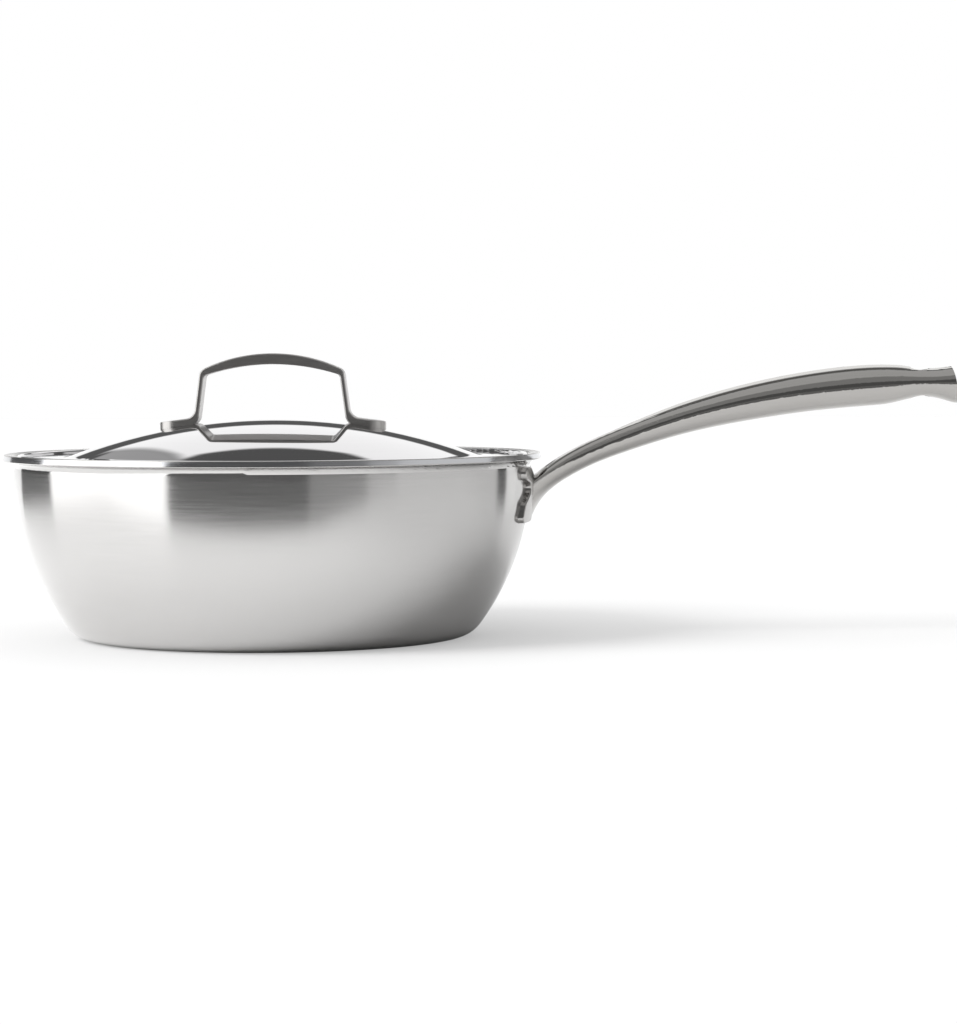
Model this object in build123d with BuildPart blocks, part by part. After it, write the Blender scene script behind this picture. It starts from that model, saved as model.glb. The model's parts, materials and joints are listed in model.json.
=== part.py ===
from build123d import *
import math
import os

# A clad saute pan with a hollow long handle, and its lift-off lid. Millimetres, +Z up.
# The origin is the centre of the base, on the pan's axis. The long handle points along +X.

os.makedirs("parts", exist_ok=True)

# Clad sheet of the pan
outer_skin = 0.5
core_thickness = 2.1
inner_skin = 0.5
sheet_thickness = outer_skin + core_thickness + inner_skin

# Bowl, measured on the outer face of the sheet
wall_radius = 132.5
wall_arc_radius = 132.0
wall_arc_height = 85.0
wall_band = 3.2
base_corner_radius = 16.0
flare_radius = 3.0
flare_angle = 78.0
lip_length = 3.4
lip_edge_round = 0.3

# Lid sheet, dome and rolled edge
lid_sheet = 0.9
lid_bead_radius = 1.2
lid_seat_clearance = 0.3
lid_seat_angle = 43.5
lid_border_width = 21.8
dome_radius = 298.0
dome_root_radius = 12.0

# Lid handle, a solid strap that is thickest in the middle of its grip
strap_thickness = 2.4
strap_width = 20.0
strap_edge_round = 0.8
grip_clear_height = 33.4
grip_crown_radius = 82.0
grip_thickness = 5.6
shoulder_half = 36.9
shoulder_round = 4.8
shoulder_inner_round = 2.4
heel_half = 40.1
heel_height = 3.2
heel_round = 5.5
heel_inner_round = 6.0
foot_half = 58.3
foot_height = 3.9
foot_top_round = 1.2
foot_corner_radius = 9.0
weld_overlap = 0.7

# Plate that joins the long handle to the wall
flange_thickness = 2.8
flange_top_gap = 0.3
flange_drop = 12.6
flange_half_width = 37.5
flange_corner_radius = 3.0
flange_corner_limit_share = 0.11
flange_edge_round = 0.8

# Long handle
handle_skin = 1.5
handle_reach = 218.5
handle_rise = 58.0
handle_root_height = 72.0
grip_width = 25.6
spine_width = 11.0
spine_depth = 4.0
spine_round = 0.6
spine_slope = 15.0
spine_lift = 1.3
handle_end_tilt = 11.0
end_cap_thickness = 1.5
end_cap_recess = 0.4

# Hanging hole through the waist of the long handle
hanging_hole_radius = 5.0
eyelet_wall = 1.2

# How far cutting solids reach past what they cut
overrun = 6.0

# Corners of one half of the plate, from its middle over the ear and the waist to the lobe, as
# shares of its half width and of its height
flange_corner_shares = [
    (0, 0.80),
    (0.32, 0.80),
    (0.68, 1.00),
    (1.03, 1.00),
    (0.96, 0.78),
    (0.49, 0.65),
    (0.90, 0.36),
    (0.95, 0),
    (0, 0),
]

# Guide lines of the long handle: distance out from the wall over the reach, then height over
# the rise, half width over the grip's half width, or the spine's lift over its full lift
top_line_shares = [
    (-0.039, 0.026),
    (0.002, 0.167),
    (0.071, 0.353),
    (0.177, 0.548),
    (0.248, 0.655),
    (0.319, 0.753),
    (0.496, 0.953),
    (0.673, 1.084),
    (0.815, 1.133),
    (0.867, 1.131),
    (0.921, 1.119),
    (0.957, 1.124),
    (1.030, 1.155),
]
seam_line_shares = [
    (-0.039, -0.017),
    (0.002, 0.103),
    (0.071, 0.269),
    (0.165, 0.428),
    (0.284, 0.603),
    (0.402, 0.741),
    (0.520, 0.841),
    (0.638, 0.910),
    (0.756, 0.955),
    (0.874, 0.984),
    (1.030, 1.000),
]
bottom_line_shares = [
    (-0.039, -0.345),
    (-0.002, -0.207),
    (0.035, 0.016),
    (0.071, 0.121),
    (0.142, 0.269),
    (0.248, 0.417),
    (0.390, 0.571),
    (0.532, 0.674),
    (0.708, 0.762),
    (0.822, 0.798),
    (0.867, 0.821),
    (0.902, 0.860),
    (0.924, 0.871),
    (0.957, 0.852),
    (0.991, 0.833),
    (1.030, 0.826),
]
width_line_shares = [
    (-0.039, 1.80),
    (0.002, 1.41),
    (0.035, 1.06),
    (0.080, 0.82),
    (0.140, 0.72),
    (0.240, 0.73),
    (0.378, 0.84),
    (0.538, 0.95),
    (0.698, 1.00),
    (0.822, 0.98),
    (0.922, 0.91),
    (0.977, 0.93),
    (1.030, 1.00),
]
spine_line_shares = [
    (0.090, -1.60),
    (0.150, -0.50),
    (0.215, 0.15),
    (0.310, 0.68),
    (0.423, 0.95),
    (0.560, 1.00),
    (0.721, 1.00),
    (0.822, 0.95),
    (0.863, 0.55),
    (0.890, -0.40),
    (0.925, -1.60),
]
# Where the sections of the handle and of its spine start and end, how many there are, and the
# angles of a section's points, from its bottom to its top
handle_span_shares = (-0.035, 1.025)
spine_span_shares = (0.095, 0.920)
section_count = 24
waist_share = 0.922
section_angles = range(-90, 91, 15)
guide_steps = 500


# Bowl

wall_center = Vector(wall_radius - wall_arc_radius, wall_arc_height)
corner_reach = wall_arc_radius - base_corner_radius
corner_drop = wall_arc_height - base_corner_radius
corner_center = Vector(wall_center.X + math.sqrt(corner_reach**2 - corner_drop**2), base_corner_radius)
corner_turn = math.degrees(math.asin(corner_drop / corner_reach))
flare_center = Vector(wall_radius + flare_radius, wall_arc_height + wall_band)


def sheet_line(depth):
    """Half section of the pan, from the axis to the lip, at a depth in from the outer face."""
    Line((0, depth), (corner_center.X, depth))
    CenterArc(corner_center, base_corner_radius - depth, 270, 90 - corner_turn)
    wall = CenterArc(wall_center, wall_arc_radius - depth, -corner_turn, corner_turn)
    Line(wall @ 1, (wall_radius - depth, flare_center.Y))
    flare = CenterArc(flare_center, flare_radius + depth, 180, -flare_angle)
    lip = PolarLine(flare @ 1, lip_length, 90 - flare_angle)
    return lip @ 1


def clad_layer(outer_depth, inner_depth, rounded_side=None):
    """One layer of the clad sheet, its lip rounded at the corner furthest along an axis."""
    with BuildPart() as layer:
        with BuildSketch(Plane.XZ) as half_section:
            with BuildLine():
                outer_end = sheet_line(outer_depth)
                inner_end = sheet_line(inner_depth)
                Line((0, outer_depth), (0, inner_depth))
                Line(outer_end, inner_end)
            make_face()
            if rounded_side:
                fillet(half_section.vertices().sort_by(rounded_side)[-1], radius=lip_edge_round)
        revolve(axis=Axis.Z)
    return layer


pan_outer_shell = clad_layer(0, outer_skin, rounded_side=Axis.X)
pan_outer_shell.part.label = "pan_outer_shell"
export_step(pan_outer_shell.part, "parts/pan_outer_shell.step")

pan_core = clad_layer(outer_skin, outer_skin + core_thickness)
pan_core.part.label = "pan_core"
export_step(pan_core.part, "parts/pan_core.step")

pan_inner_lining = clad_layer(outer_skin + core_thickness, sheet_thickness, rounded_side=Axis.Y)
pan_inner_lining.part.label = "pan_inner_lining"
export_step(pan_inner_lining.part, "parts/pan_inner_lining.step")


# Lid: its rolled edge rests on the inner face of the flared lip

seat_reach = flare_radius + sheet_thickness + lid_seat_clearance + lid_bead_radius
bead_center = flare_center + Vector(-seat_reach, 0).rotate(Axis.Z, -lid_seat_angle)
lid_flange_top = bead_center.Y - lid_bead_radius + lid_sheet
root_center = Vector(bead_center.X - lid_border_width, lid_flange_top + dome_root_radius)
root_reach = dome_radius + dome_root_radius
dome_center = Vector(0, root_center.Y - math.sqrt(root_reach**2 - root_center.X**2))
dome_top = dome_center.Y + dome_radius
root_turn = math.degrees(math.asin(root_center.X / root_reach))


def dome_height(radius):
    """Height of the dome's upper face at a distance from the axis."""
    return dome_center.Y + math.sqrt(dome_radius**2 - radius**2)


def lid_line(depth):
    """Half section of the lid, from the axis to its rolled edge, at a depth below the top."""
    CenterArc(dome_center, dome_radius - depth, 90, -root_turn)
    CenterArc(root_center, dome_root_radius + depth, 270 - root_turn, root_turn)
    flange = Line((root_center.X, lid_flange_top - depth), (bead_center.X, lid_flange_top - depth))
    return flange @ 1


with BuildPart() as lid_dome:
    with BuildSketch(Plane.XZ):
        with BuildLine():
            upper_end = lid_line(0)
            lower_end = lid_line(lid_sheet)
            Line((0, dome_top), (0, dome_top - lid_sheet))
            Line(upper_end, lower_end)
        make_face()
        with Locations(bead_center):
            Circle(lid_bead_radius)
    revolve(axis=Axis.Z)
lid_dome.part.label = "lid_dome"
export_step(lid_dome.part, "parts/lid_dome.step")


# Everything under the dome's upper face, to cut the feet of the lid handle to it

with BuildPart() as under_dome:
    with BuildSketch(Plane.XZ):
        with BuildLine():
            face_line = CenterArc(dome_center, dome_radius, 90, -root_turn)
            Polyline(face_line @ 1, (root_center.X, 0), (0, 0), (0, dome_top))
        make_face()
    revolve(axis=Axis.Z)


# Lid handle

grip_top = dome_top + grip_clear_height
shoulder_height = grip_top - grip_crown_radius + math.sqrt(grip_crown_radius**2 - shoulder_half**2)
heel_top = dome_height(heel_half) + heel_height
foot_top = dome_height(foot_half) + foot_height
foot_bottom = dome_height(foot_half) - weld_overlap
post_lean = (heel_half - shoulder_half) / (shoulder_height - heel_top)
post_run = strap_thickness * math.sqrt(1 + post_lean**2)
heel_bottom = dome_height(heel_half) - weld_overlap


def post_inside(height):
    """Distance from the axis to the inner face of the strap's post at a height."""
    return shoulder_half + post_lean * (shoulder_height - height) - post_run


shoulder_inside_height = shoulder_height - strap_thickness
shoulder_inside = Vector(post_inside(shoulder_inside_height), shoulder_inside_height)
heel_inside = Vector(post_inside(heel_bottom), heel_bottom)
grip_under = grip_top - grip_thickness
under_drop = grip_under - shoulder_inside.Y
under_radius = (shoulder_inside.X**2 + under_drop**2) / (2 * under_drop)
crown_turn = math.degrees(math.asin(shoulder_half / grip_crown_radius))
under_turn = math.degrees(math.asin(shoulder_inside.X / under_radius))
strap_rounds = [
    ((shoulder_half, shoulder_height), shoulder_round),
    ((shoulder_inside.X, shoulder_inside.Y), shoulder_inner_round),
    ((heel_half, heel_top), heel_round),
    ((heel_inside.X, heel_inside.Y), heel_inner_round),
    ((foot_half, foot_top), foot_top_round),
]

with BuildPart() as lid_handle:
    with BuildSketch(Plane.XZ) as strap_side:
        with BuildLine():
            CenterArc((0, grip_top - grip_crown_radius), grip_crown_radius, 90, -crown_turn)
            Polyline(
                (shoulder_half, shoulder_height),
                (heel_half, heel_top),
                (foot_half, foot_top),
                (foot_half, foot_bottom),
                heel_inside,
                shoulder_inside,
            )
            CenterArc((0, grip_under - under_radius), under_radius, 90, -under_turn)
            mirror(about=Plane.YZ)
        make_face()
        for corner, radius in strap_rounds:
            for side in (-1, 1):
                place = (side * corner[0], corner[1])
                fillet(strap_side.vertices().sort_by_distance(place)[0], radius=radius)
    extrude(amount=strap_width / 2, both=True)
    fillet(lid_handle.faces().filter_by(Axis.Y).edges(), radius=strap_edge_round)
    with BuildSketch(Plane.XY.offset(foot_bottom)):
        RectangleRounded(2 * foot_half, strap_width, foot_corner_radius)
    extrude(amount=grip_top - foot_bottom, mode=Mode.INTERSECT)
    add(under_dome.part, mode=Mode.SUBTRACT)
lid_handle.part.label = "lid_handle"
export_step(lid_handle.part, "parts/lid_handle.step")


# Plate between the long handle and the wall, with two ears, a waist and two lobes

flange_top = flare_center.Y - flange_top_gap
flange_bottom = handle_root_height - flange_drop
flange_height = flange_top - flange_bottom
flange_corner = min(flange_corner_radius, flange_corner_limit_share * flange_height)
flange_start = wall_arc_height - flange_bottom + overrun
flange_turn = math.degrees(math.asin(flange_start / wall_arc_radius))


def plate_line(depth):
    """Upper part of the wall's section, at a depth in from the outer face."""
    wall = CenterArc(wall_center, wall_arc_radius - depth, -flange_turn, flange_turn)
    band = Line(wall @ 1, (wall_radius - depth, flange_top))
    return wall @ 0, band @ 1


with BuildPart() as handle_flange:
    with BuildSketch(Plane.XZ):
        with BuildLine():
            low_inner, high_inner = plate_line(0)
            low_outer, high_outer = plate_line(-flange_thickness)
            Line(low_inner, low_outer)
            Line(high_inner, high_outer)
        make_face()
    revolve(axis=Axis.Z)
    with BuildSketch(Plane.YZ):
        with BuildLine():
            corners = [
                (out * flange_half_width, flange_bottom + up * flange_height)
                for out, up in flange_corner_shares
            ]
            FilletPolyline(corners, radius=flange_corner)
            mirror(about=Plane.YZ)
        make_face()
    extrude(amount=wall_radius + overrun, mode=Mode.INTERSECT)
    outer_face = handle_flange.faces().sort_by(Axis.X)[-1]
    fillet(outer_face.edges(), radius=flange_edge_round)
handle_flange.part.label = "handle_flange"
export_step(handle_flange.part, "parts/handle_flange.step")


# Everything inside the outer face of the plate, to cut the root of the long handle to it

with BuildPart() as inside_plate:
    with BuildSketch(Plane.XZ):
        with BuildLine():
            low_face, high_face = plate_line(-flange_thickness)
            Polyline(high_face, (high_face.X, dome_top), (0, dome_top), (0, 0), (low_face.X, 0), low_face)
        make_face()
    revolve(axis=Axis.Z)


# Long handle: its outer body, and the space inside it

end_plane = Plane(
    origin=(wall_radius + handle_reach, 0, handle_root_height + handle_rise),
    z_dir=Vector(1, 0, 0).rotate(Axis.Y, -handle_end_tilt),
)


def guide(line_shares):
    """Smooth curve through the points of a guide line, read off at a distance out."""
    curve = Spline(line_shares)
    points = [curve @ (step / guide_steps) for step in range(guide_steps + 1)]

    def value(out_share):
        after = next(point for point in points[1:] if point.X >= out_share)
        before = points[points.index(after) - 1]
        return before.Y + (after.Y - before.Y) * (out_share - before.X) / (after.X - before.X)

    return value


top_line = guide(top_line_shares)
seam_line = guide(seam_line_shares)
bottom_line = guide(bottom_line_shares)
width_line = guide(width_line_shares)
spine_line = guide(spine_line_shares)


def even_shares(span_shares, count):
    """Evenly spread places from the start to the end of a span."""
    start, end = span_shares
    return [start + (end - start) * index / (count - 1) for index in range(count)]


def place_out(out_share):
    """Distance from the axis at a share of the reach."""
    return wall_radius + out_share * handle_reach


def place_up(up_share):
    """Height at a share of the rise."""
    return handle_root_height + up_share * handle_rise


def handle_section(out_share, inset):
    """Closed section of the long handle, inset from its outer face."""
    seam_height = place_up(seam_line(out_share))
    above = place_up(top_line(out_share)) - seam_height - inset
    below = seam_height - place_up(bottom_line(out_share)) - inset
    half_width = width_line(out_share) * grip_width / 2 - inset
    side_points = []
    for angle in section_angles:
        turn = math.radians(angle)
        reach = above if angle > 0 else below
        side_points.append((half_width * math.cos(turn), seam_height + reach * math.sin(turn)))
    with BuildSketch(Plane.YZ.offset(place_out(out_share))) as section:
        with BuildLine():
            Spline(side_points, tangents=((1, 0), (-1, 0)))
            mirror(about=Plane.YZ)
        make_face()
    return section.sketch


def spine_section(out_share):
    """Section of the raised spine, a low gable with its crown lifted above the shell's own."""
    crown = place_up(top_line(out_share)) + spine_line(out_share) * spine_lift
    half_width = width_line(out_share) * spine_width / 2
    eaves = crown - half_width * math.tan(math.radians(spine_slope))
    corners = [
        (0, crown),
        (half_width, eaves),
        (half_width, eaves - spine_depth),
        (-half_width, eaves - spine_depth),
        (-half_width, eaves),
    ]
    with BuildSketch(Plane.YZ.offset(place_out(out_share))) as section:
        with BuildLine():
            FilletPolyline(corners, radius=spine_round, close=True)
        make_face()
    return section.sketch


handle_places = even_shares(handle_span_shares, section_count)

with BuildPart() as handle_body:
    loft([handle_section(out_share, 0) for out_share in handle_places])
    loft([spine_section(out_share) for out_share in even_shares(spine_span_shares, section_count)])
    split(bisect_by=end_plane, keep=Keep.BOTTOM)
    add(inside_plate.part, mode=Mode.SUBTRACT)

with BuildPart() as handle_space:
    loft([handle_section(out_share, handle_skin) for out_share in handle_places])


# Below the seam, to part the two shells of the long handle

with BuildPart() as below_seam:
    with BuildSketch(Plane.XZ):
        with BuildLine():
            seam = Spline([(place_out(share), place_up(seam_line(share))) for share in handle_places])
            Polyline(seam @ 0, ((seam @ 0).X, 0), ((seam @ 1).X, 0), seam @ 1)
        make_face()
    extrude(amount=grip_width, both=True)


# Bored eyelet at the waist, trimmed flush with the long handle

waist_out = place_out(waist_share)
eyelet_radius = hanging_hole_radius + eyelet_wall


def waist_cylinder(radius):
    """Upright cylinder through the waist of the long handle."""
    with BuildPart() as cylinder:
        with BuildSketch(Plane.XY.offset(handle_root_height)):
            with Locations((waist_out, 0)):
                Circle(radius)
        extrude(amount=2 * handle_rise)
    return cylinder.part


with BuildPart() as hanging_eyelet:
    add(handle_body.part)
    add(waist_cylinder(eyelet_radius), mode=Mode.INTERSECT)
    add(waist_cylinder(hanging_hole_radius), mode=Mode.SUBTRACT)
hanging_eyelet.part.label = "hanging_eyelet"
export_step(hanging_eyelet.part, "parts/hanging_eyelet.step")

with BuildPart() as handle_upper_shell:
    add(handle_body.part)
    add(handle_space.part, mode=Mode.SUBTRACT)
    add(below_seam.part, mode=Mode.SUBTRACT)
    add(waist_cylinder(eyelet_radius), mode=Mode.SUBTRACT)
handle_upper_shell.part.label = "handle_upper_shell"
export_step(handle_upper_shell.part, "parts/handle_upper_shell.step")

with BuildPart() as handle_lower_shell:
    add(handle_body.part)
    add(handle_space.part, mode=Mode.SUBTRACT)
    add(below_seam.part, mode=Mode.INTERSECT)
    add(waist_cylinder(eyelet_radius), mode=Mode.SUBTRACT)
handle_lower_shell.part.label = "handle_lower_shell"
export_step(handle_lower_shell.part, "parts/handle_lower_shell.step")

with BuildPart() as handle_end_cap:
    add(handle_space.part)
    split(bisect_by=end_plane.offset(-end_cap_recess), keep=Keep.BOTTOM)
    split(bisect_by=end_plane.offset(-end_cap_recess - end_cap_thickness), keep=Keep.TOP)
handle_end_cap.part.label = "handle_end_cap"
export_step(handle_end_cap.part, "parts/handle_end_cap.step")
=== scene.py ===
import json
import math

import bpy
from mathutils import Matrix

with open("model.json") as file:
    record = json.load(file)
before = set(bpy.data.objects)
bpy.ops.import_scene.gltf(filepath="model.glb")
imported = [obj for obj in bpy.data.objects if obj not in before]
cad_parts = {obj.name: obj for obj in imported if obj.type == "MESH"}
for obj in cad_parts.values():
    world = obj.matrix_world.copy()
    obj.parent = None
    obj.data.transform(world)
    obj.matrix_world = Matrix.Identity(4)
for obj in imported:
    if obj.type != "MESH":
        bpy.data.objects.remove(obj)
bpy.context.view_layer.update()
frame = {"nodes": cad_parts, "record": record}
nodes = frame["nodes"]

# Lengths are in metres. The camera's angles are in radians, and all others in degrees.

# Camera. A long lens stands about a metre and a half in front of the pan, a little above the lid,
# and looks slightly down. The pan's axis is left of the middle, which leaves room for the handle.

camera_place = (0.10575, -1.563, 0.1411)
camera_dip = 0.0495
camera_roll = -0.0041
# The sensor's width and the focal length, in millimetres
camera_sensor = 36
camera_lens = 106.4

lens = bpy.data.cameras.new("camera")
lens.sensor_width = camera_sensor
lens.lens = camera_lens
camera = bpy.data.objects.new("camera", lens)
camera.matrix_world = (
    Matrix.Translation(camera_place)
    @ Matrix.Rotation(math.pi / 2 - camera_dip, 4, "X")
    @ Matrix.Rotation(camera_roll, 4, "Z")
)
bpy.context.scene.collection.objects.link(camera)
bpy.context.scene.camera = camera
bpy.context.scene.view_settings.view_transform = "Standard"

# Studio. Large softboxes in a dim room: a bright one behind the pan, one along the left, weaker ones
# at the right and overhead. The gaps between them draw the dark bands in the metal.

room_dark = 0.11
backdrop_brightness = 1.0
white = (1.0, 1.0, 1.0, 1.0)
# Softboxes: turn from the front and half width, then middle and half height above the horizon,
# then the width of the soft edge, and the brightness
softboxes = [
    (0, 90, 60, 32, 10, 0.3),
    (0, 90, 81, 12, 6, 0.56),
    (5, 48, -12, 10.5, 3, 0.18),
    (180, 90, 70, 22, 4, 0.56),
    (-150, 17.2, 27.5, 9, 1.5, 0.42),
    (171.3, 21.3, 25.9, 9.6, 1.5, 1.2),
    (172.5, 42.5, -3, 12.3, 1.5, 1.1),
    (-77.4, 34, 15, 45, 2, 2.0),
    (70, 51, -3, 24, 3, 0.36),
    (83, 38, -3, 24, 3, 0.6),
    (90, 31, -3, 24, 3, 0.78),
]


def add_node(tree, kind, settings=(), inputs=()):
    """Adds a node with its settings, and sets each input to a value or links it to a socket."""
    node = tree.nodes.new("ShaderNode" + kind)
    for name, value in dict(settings).items():
        setattr(node, name, value)
    for name, value in dict(inputs).items():
        if isinstance(value, bpy.types.NodeSocket):
            tree.links.new(value, node.inputs[name])
        else:
            node.inputs[name].default_value = value
    return node


world = bpy.data.worlds.new("studio")
world.use_nodes = True
bpy.context.scene.world = world
sky = world.node_tree
sky.nodes.clear()
direction = add_node(sky, "TexCoord").outputs["Generated"]
parts = add_node(sky, "SeparateXYZ", inputs={"Vector": direction}).outputs
away = add_node(sky, "Math", {"operation": "MULTIPLY"}, {0: parts["Y"], 1: -1.0}).outputs[0]
turn = add_node(sky, "Math", {"operation": "ARCTAN2"}, {0: parts["X"], 1: away}).outputs[0]
height = add_node(sky, "Math", {"operation": "ARCSINE"}, {0: parts["Z"]}).outputs[0]
light = room_dark
for centre, half_width, middle, half_height, edge, brightness in softboxes:
    shape = []
    for socket, place, half in ((turn, centre, half_width), (height, middle, half_height)):
        offset = add_node(
            sky, "Math", {"operation": "SUBTRACT"}, {0: socket, 1: math.radians(place)}
        ).outputs[0]
        wrapped = add_node(
            sky, "Math", {"operation": "WRAP"}, {0: offset, 1: math.pi, 2: -math.pi}
        ).outputs[0]
        distance = add_node(sky, "Math", {"operation": "ABSOLUTE"}, {0: wrapped}).outputs[0]
        shape.append(
            add_node(
                sky,
                "MapRange",
                {"interpolation_type": "SMOOTHSTEP"},
                {
                    "Value": distance,
                    "From Min": math.radians(half - edge / 2),
                    "From Max": math.radians(half + edge / 2),
                    "To Min": 1.0,
                    "To Max": 0.0,
                },
            ).outputs["Result"]
        )
    inside = add_node(sky, "Math", {"operation": "MULTIPLY"}, {0: shape[0], 1: shape[1]}).outputs[0]
    light = add_node(
        sky, "Mix", {"data_type": "FLOAT"}, {"Factor": inside, "A": light, "B": brightness}
    ).outputs["Result"]
studio = add_node(sky, "Background", inputs={"Color": white, "Strength": light}).outputs[0]
backdrop = add_node(
    sky, "Background", inputs={"Color": white, "Strength": backdrop_brightness}
).outputs[0]
camera_ray = add_node(sky, "LightPath").outputs["Is Camera Ray"]
shown = add_node(sky, "MixShader", inputs={0: camera_ray, 1: studio, 2: backdrop}).outputs[0]
add_node(sky, "OutputWorld", inputs={"Surface": shown})

# Lamps on the table. A wide one hangs overhead, and the main one, low at the left and a little in
# front, lights the table up to the base and throws the faint shadow at the right of the pan.

# Lamps: turn from the front, height above the horizon, width, and strength
lamps = [
    ("overhead_lamp", 0, 90, 80, 1.6),
    ("left_lamp", -62, 36, 30, 3.0),
]
for name, turned, raised, width, strength in lamps:
    lamp_data = bpy.data.lights.new(name, "SUN")
    lamp_data.angle = math.radians(width)
    lamp_data.energy = strength
    lamp = bpy.data.objects.new(name, lamp_data)
    lamp.matrix_world = Matrix.Rotation(math.radians(turned), 4, "Z") @ Matrix.Rotation(
        math.radians(90 - raised), 4, "X"
    )
    lamp.visible_glossy = False
    lamp.visible_camera = False
    bpy.context.scene.collection.objects.link(lamp)

# Table. A matt white board, cut away where the dark sides of the room stand close to it, which the
# metal shows. Its tone is painted shade: paler at the left and darker towards the right and back,
# where the lamps light it less. On it lies the acrylic sheet that the camera sees, faintly lit
# from below so that no shadow is deep.

# The light and dark tones of the board's painted shade, then the direction in which it darkens, and
# where the darkening starts and ends
table_painted_shade_tones = ("#e7e7e7", "#c5c5c5")
table_shade_direction = (1, 0.35, 0)
table_shade_start = -0.1
table_shade_end = 0.2
table_corners = [
    (-0.6, -0.25),
    (0.1, -0.28),
    (0.7, -0.6),
    (1.4, -0.5),
    (1.4, 0.0),
    (0.55, 0.16),
    (0.45, 0.3),
    (0.55, 0.5),
    (1.2, 1.3),
    (-1.1, 1.4),
    (-0.52, 0.56),
    (-0.58, 0.25),
]
acrylic_tone = "#a1a1a1"
acrylic_glow = 0.42
floor_half = 6.0
floor_corners = [
    (-floor_half, -floor_half),
    (floor_half, -floor_half),
    (floor_half, floor_half),
    (-floor_half, floor_half),
]
board_gap = 0.0001
board_roughness = 0.9
board_specular = 0.1


def linear(hex_colour):
    """Linear red, green, blue and alpha of an sRGB hex colour."""
    channels = [int(hex_colour[start : start + 2], 16) / 255 for start in (1, 3, 5)]
    return [((c + 0.055) / 1.055) ** 2.4 if c > 0.04045 else c / 12.92 for c in channels] + [1.0]


def new_board(name):
    """A matt board's material, its node tree and its shader."""
    material = bpy.data.materials.new(name)
    material.use_nodes = True
    shader = material.node_tree.nodes["Principled BSDF"]
    shader.inputs["Roughness"].default_value = board_roughness
    shader.inputs["Specular IOR Level"].default_value = board_specular
    return material, material.node_tree, shader


def lay_board(name, corners, level, material):
    """A flat board of the stage, face up, with these corners."""
    mesh = bpy.data.meshes.new(name)
    mesh.from_pydata([(x, y, level) for x, y in corners], [], [range(len(corners))])
    mesh.materials.append(material)
    board = bpy.data.objects.new(name, mesh)
    bpy.context.scene.collection.objects.link(board)
    return board


# Painted shade: the board's tone darkens from the left towards the right and back
painted_shade_board, tree, shader = new_board("white_board_with_painted_shade")
place = add_node(tree, "TexCoord").outputs["Object"]
across = add_node(
    tree, "VectorMath", {"operation": "DOT_PRODUCT"}, {0: place, 1: table_shade_direction}
).outputs["Value"]
painted_shade_fade = add_node(
    tree,
    "MapRange",
    {"interpolation_type": "SMOOTHSTEP"},
    {"Value": across, "From Min": table_shade_start, "From Max": table_shade_end},
).outputs["Result"]
tone = add_node(
    tree,
    "Mix",
    {"data_type": "RGBA"},
    {"Factor": painted_shade_fade, "A": linear(table_painted_shade_tones[0]), "B": linear(table_painted_shade_tones[1])},
).outputs["Result"]
tree.links.new(tone, shader.inputs["Base Color"])
table = lay_board("table", table_corners, -2 * board_gap, painted_shade_board)
table.visible_camera = False

acrylic, tree, shader = new_board("lit_acrylic_sheet")
shader.inputs["Base Color"].default_value = linear(acrylic_tone)
shader.inputs["Emission Color"].default_value = white
shader.inputs["Emission Strength"].default_value = acrylic_glow
floor = lay_board("floor", floor_corners, -board_gap, acrylic)
floor.visible_glossy = False
floor.visible_diffuse = False
floor.visible_shadow = False

# Outer skin of the pan. Magnetic stainless steel, drawn with the core and lining as one sheet, its
# wall brushed round the axis on a lathe and the lip buffed bright.

pan_axis = (0, 0, 0)
skin_colours = ("#c2c1c0", "#cccbca")
brush_pitch = 0.0009
brush_length = 0.03
brush_depth = 0.000003
brush_roughness = (0.16, 0.21)
brush_grain = 0.95
# The brushing gives way to the buffed lip between these two heights
lip_start = 0.0865
lip_full = 0.0885
lip_roughness = 0.08
# The noise of every finish keeps between about these two values
noise_low = 0.3
noise_high = 0.7
turned_detail = 4.0
turned_contrast = 0.6
# A quarter turn, which sets the stretch across the lines
grain_turn = 0.25


def new_metal(name):
    """A metal's material, its node tree and its shader."""
    material = bpy.data.materials.new(name)
    material.use_nodes = True
    shader = material.node_tree.nodes["Principled BSDF"]
    shader.inputs["Metallic"].default_value = 1.0
    return material, material.node_tree, shader


def turned_lines(tree, axis, pitch, length):
    """Fine lines round an upright axis, as brushing or polishing on a lathe leaves them."""
    place = add_node(tree, "TexCoord").outputs["Object"]
    arm = add_node(tree, "VectorMath", {"operation": "SUBTRACT"}, {0: place, 1: axis}).outputs[0]
    axes = add_node(tree, "SeparateXYZ", inputs={"Vector": arm}).outputs
    flat = add_node(tree, "CombineXYZ", inputs={"X": axes["X"], "Y": axes["Y"]}).outputs[0]
    reach = add_node(tree, "VectorMath", {"operation": "LENGTH"}, {0: flat}).outputs["Value"]
    down_face = add_node(tree, "Math", {"operation": "ADD"}, {0: reach, 1: axes["Z"]}).outputs[0]
    lined = add_node(
        tree, "CombineXYZ", inputs={"X": axes["X"], "Y": axes["Y"], "Z": down_face}
    ).outputs[0]
    counted = add_node(
        tree, "VectorMath", {"operation": "DIVIDE"}, {0: lined, 1: (length, length, pitch)}
    ).outputs[0]
    return add_node(
        tree,
        "TexNoise",
        inputs={
            "Vector": counted,
            "Scale": 1.0,
            "Detail": turned_detail,
            "Roughness": turned_contrast,
        },
    ).outputs["Fac"]


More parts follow.
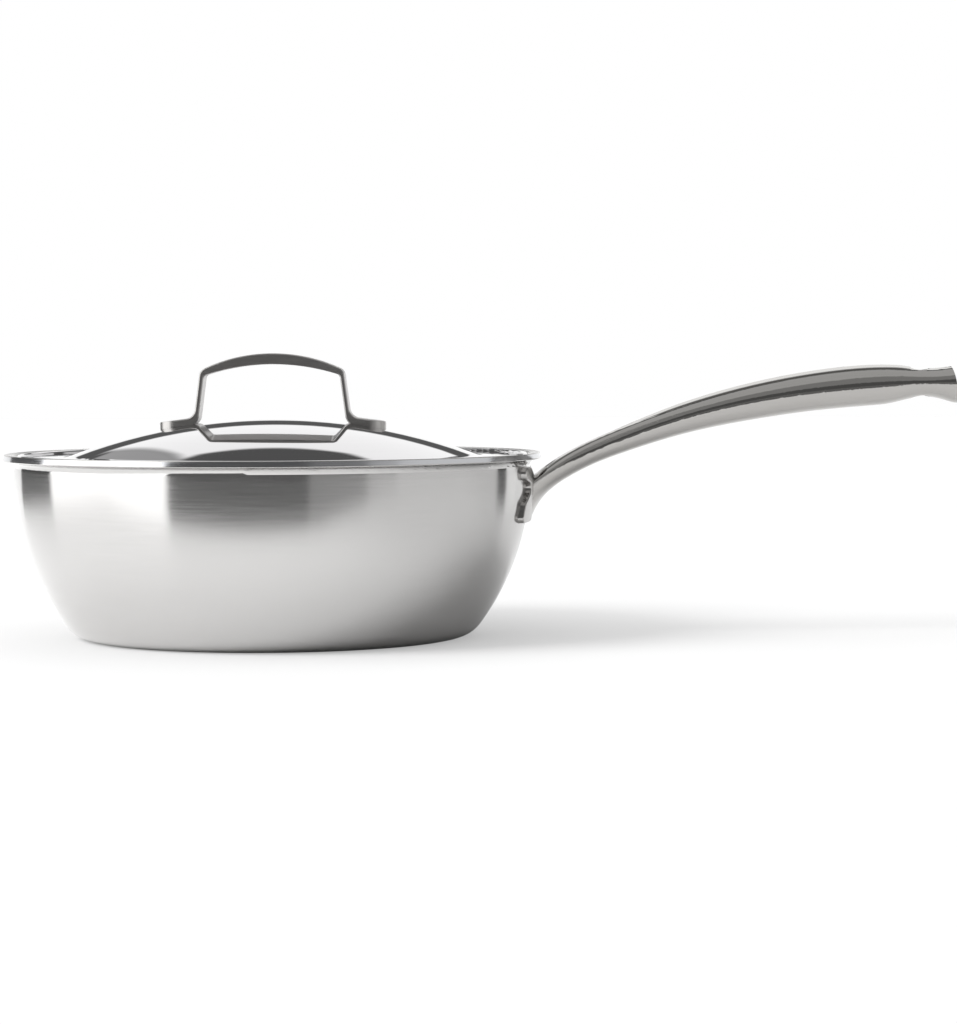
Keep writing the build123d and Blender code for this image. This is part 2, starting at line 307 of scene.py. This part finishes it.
def metal_finish(tree, shader, lines, colours, roughness, depth):
    """Gives the metal its two tones, its range of roughness and its relief along the lines."""
    tone = add_node(
        tree,
        "Mix",
        {"data_type": "RGBA"},
        {"Factor": lines, "A": linear(colours[0]), "B": linear(colours[1])},
    ).outputs["Result"]
    gloss = add_node(
        tree,
        "MapRange",
        inputs={
            "Value": lines,
            "From Min": noise_low,
            "From Max": noise_high,
            "To Min": roughness[0],
            "To Max": roughness[1],
        },
    ).outputs["Result"]
    relief = add_node(tree, "Bump", inputs={"Height": lines, "Distance": depth}).outputs["Normal"]
    tree.links.new(tone, shader.inputs["Base Color"])
    tree.links.new(gloss, shader.inputs["Roughness"])
    tree.links.new(relief, shader.inputs["Normal"])
    return gloss


def round_grain(tree, shader, strength):
    """Stretches reflections across the lines of a finish that runs round the axis."""
    shader.inputs["Anisotropic"].default_value = strength
    shader.inputs["Anisotropic Rotation"].default_value = grain_turn
    way = add_node(tree, "Tangent", {"direction_type": "RADIAL", "axis": "Z"}).outputs[0]
    tree.links.new(way, shader.inputs["Tangent"])


def finish_node(name, material):
    """Gives a piece of the frame its material."""
    nodes[name].data.materials.clear()
    nodes[name].data.materials.append(material)


# Brushed stainless steel: real lines are a tenth of a millimetre apart, too fine to show, so they
# are drawn at 0.9 mm. They spread each reflection up and down the wall and keep it sharp sideways.
brushed_steel, tree, shader = new_metal("brushed_stainless_steel")
lines = turned_lines(tree, pan_axis, brush_pitch, brush_length)
brushed = metal_finish(tree, shader, lines, skin_colours, brush_roughness, brush_depth)
round_grain(tree, shader, brush_grain)
level = add_node(
    tree, "SeparateXYZ", inputs={"Vector": add_node(tree, "TexCoord").outputs["Object"]}
).outputs["Z"]
buffed = add_node(
    tree,
    "MapRange",
    {"interpolation_type": "SMOOTHSTEP"},
    {"Value": level, "From Min": lip_start, "From Max": lip_full},
).outputs["Result"]
roughness = add_node(
    tree, "Mix", {"data_type": "FLOAT"}, {"Factor": buffed, "A": brushed, "B": lip_roughness}
).outputs["Result"]
tree.links.new(roughness, shader.inputs["Roughness"])
finish_node("pan_outer_shell", brushed_steel)

# Core of the pan. Pure aluminium, rolled and bonded between the two steel skins. It shows only at
# the lip, where the three layers were trimmed in one cut and the edge was ground smooth.

core_colours = ("#cbccd0", "#d6d7d9")
cut_pitch = 0.0006
cut_length = 0.02
cut_depth = 0.000004
cut_roughness = (0.1, 0.18)

# Trimmed aluminium: a shade cooler and paler than the steel, with fine grinding lines.
trimmed_aluminium, tree, shader = new_metal("trimmed_aluminium")
lines = turned_lines(tree, pan_axis, cut_pitch, cut_length)
metal_finish(tree, shader, lines, core_colours, cut_roughness, cut_depth)
finish_node("pan_core", trimmed_aluminium)

# Lining of the pan. Chrome-nickel stainless steel, the food side, satin finished on a lathe, so
# fine rings run over its floor and up its wall.

lining_colours = ("#c0bfbd", "#d0cfcd")
satin_pitch = 0.0012
satin_length = 0.05
satin_depth = 0.000012
satin_roughness = (0.18, 0.3)
satin_grain = 0.8

# Satin stainless steel: rings drawn at 1.2 mm, coarser than real, fan the light out from the middle.
satin_steel, tree, shader = new_metal("satin_stainless_steel")
lines = turned_lines(tree, pan_axis, satin_pitch, satin_length)
metal_finish(tree, shader, lines, lining_colours, satin_roughness, satin_depth)
round_grain(tree, shader, satin_grain)
finish_node("pan_inner_lining", satin_steel)

# Plate of the long handle. Stamped from 2.8 mm stainless sheet, its edges tumbled round, and spot
# welded to the wall under the lip.

plate_colours = ("#b4b2b0", "#bebcba")
dent_size = 0.0015
dent_depth = 0.0000015
dent_detail = 3.0
dent_contrast = 0.5
tumble_roughness = (0.18, 0.26)

# Tumbled stainless steel: bright, with the slight softness and the tiny dents that tumbling leaves.
tumbled_steel, tree, shader = new_metal("tumbled_stainless_steel")
place = add_node(tree, "TexCoord").outputs["Object"]
dents = add_node(
    tree,
    "TexNoise",
    inputs={
        "Vector": place,
        "Scale": 1 / dent_size,
        "Detail": dent_detail,
        "Roughness": dent_contrast,
    },
).outputs["Fac"]
metal_finish(tree, shader, dents, plate_colours, tumble_roughness, dent_depth)
finish_node("handle_flange", tumbled_steel)

# Shells of the long handle. Two pressings of stainless sheet, welded along their seam, ground flush
# and polished lengthways on a belt, then welded to the plate.

shell_colours = ("#bab8b5", "#c1bfbc")
belt_steps = (0.06, 0.0008, 0.0008)
belt_depth = 0.000002
belt_roughness = (0.06, 0.12)
belt_detail = 3.0
belt_contrast = 0.5


def belt_lines(tree, steps):
    """Fine straight lines, as a belt leaves them, longest on the axis with the longest step."""
    place = add_node(tree, "TexCoord").outputs["Object"]
    counted = add_node(tree, "VectorMath", {"operation": "DIVIDE"}, {0: place, 1: steps}).outputs[0]
    return add_node(
        tree,
        "TexNoise",
        inputs={
            "Vector": counted,
            "Scale": 1.0,
            "Detail": belt_detail,
            "Roughness": belt_contrast,
        },
    ).outputs["Fac"]


# Belt-polished stainless steel: clear long reflections, a little soft across the handle.
polished_steel, tree, shader = new_metal("belt_polished_stainless_steel")
lines = belt_lines(tree, belt_steps)
metal_finish(tree, shader, lines, shell_colours, belt_roughness, belt_depth)
finish_node("handle_upper_shell", polished_steel)
finish_node("handle_lower_shell", polished_steel)

# Eyelet of the hanging hole. A short stainless tube through the waist of the handle, welded in and
# bored, so fine turning marks run round inside it.

mount_places = {mount["name"]: mount["pos_m"] for mount in frame["record"]["mounts"]}
hole_x, hole_y = mount_places["hanging_hole"][:2]
eyelet_axis = (hole_x, hole_y, 0)
bore_pitch = 0.0004
bore_length = 0.004
bore_depth = 0.000004
bore_roughness = (0.1, 0.2)

# Bored stainless steel: bright rings round the hole.
bored_steel, tree, shader = new_metal("bored_stainless_steel")
lines = turned_lines(tree, eyelet_axis, bore_pitch, bore_length)
metal_finish(tree, shader, lines, shell_colours, bore_roughness, bore_depth)
finish_node("hanging_eyelet", bored_steel)

# Cap in the end of the long handle. A pressed stainless disc, pushed in and welded, left as it came
# from the press but for a light brushing.

cap_colours = ("#a9a8a6", "#b6b5b3")
cap_steps = (0.0005, 0.015, 0.0005)
cap_depth = 0.000008
cap_roughness = (0.22, 0.34)

# Lightly brushed stainless steel: duller than the shells around it.
cap_steel, tree, shader = new_metal("lightly_brushed_stainless_steel")
lines = belt_lines(tree, cap_steps)
metal_finish(tree, shader, lines, cap_colours, cap_roughness, cap_depth)
finish_node("handle_end_cap", cap_steel)

# Lid. One stainless sheet, deep drawn to a low dome with a flat border and a rolled edge, and
# polished to a mirror on a lathe.

lid_colours = ("#cfcecf", "#d3d2d3")
mirror_pitch = 0.0015
mirror_length = 0.08
mirror_depth = 0.0000006
mirror_roughness = (0.02, 0.04)

# Mirror-polished stainless steel: sharp reflections with a trace of the polishing rings.
mirror_steel, tree, shader = new_metal("mirror_polished_stainless_steel")
lines = turned_lines(tree, pan_axis, mirror_pitch, mirror_length)
metal_finish(tree, shader, lines, lid_colours, mirror_roughness, mirror_depth)
finish_node("lid_dome", mirror_steel)

# Lid handle. A stainless bar, forged thicker in the middle of its grip, bent twice to its feet,
# satin polished, and spot welded to the dome.

bar_colours = ("#b6b4b2", "#c2c0be")
bar_steps = (0.02, 0.0009, 0.0009)
bar_depth = 0.000004
bar_roughness = (0.28, 0.36)

# Satin-polished stainless steel: soft reflections that follow the bar.
bar_steel, tree, shader = new_metal("satin_polished_stainless_steel")
lines = belt_lines(tree, bar_steps)
metal_finish(tree, shader, lines, bar_colours, bar_roughness, bar_depth)
finish_node("lid_handle", bar_steel)
